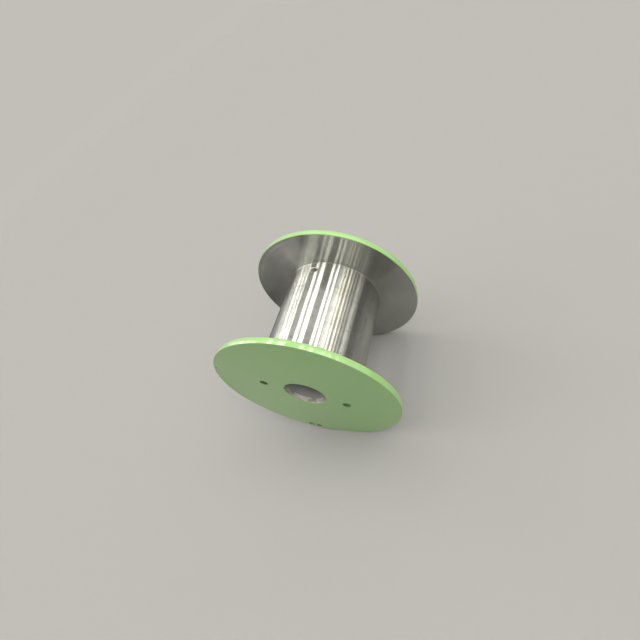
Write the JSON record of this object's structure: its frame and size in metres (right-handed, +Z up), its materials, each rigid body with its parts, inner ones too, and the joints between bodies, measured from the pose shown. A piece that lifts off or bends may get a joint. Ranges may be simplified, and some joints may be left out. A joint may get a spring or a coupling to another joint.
{
  "type": "cable reel",
  "caption": "Steel cable reel: flat disc flanges on a polished barrel, with a shaft bore, drive holes, cable lead-out holes by the rims and a start hole in the barrel.",
  "frame": {"origin": "bottom centre: on the floor, straight below the middle of the spindle axis, where the reel lies on its two rims", "axes": "+Z up; the spindle lies along Y, with the front flange towards -Y and the rear flange towards +Y; +X to the right seen from the front"},
  "size_m": [0.6299, 0.44, 0.63],
  "materials": {
    "green_paint": "glossy green paint on the outer face and rim; inner face and bore bare turned steel",
    "turned_steel": "fine turned and polished steel",
    "tube_steel": "dull grey rolled steel, not machined"
  },
  "bodies": {
    "root": {"front_flange": "green_paint", "rear_flange": "green_paint", "barrel": "turned_steel", "centre_tube": "tube_steel"}
  },
  "joints": []
}
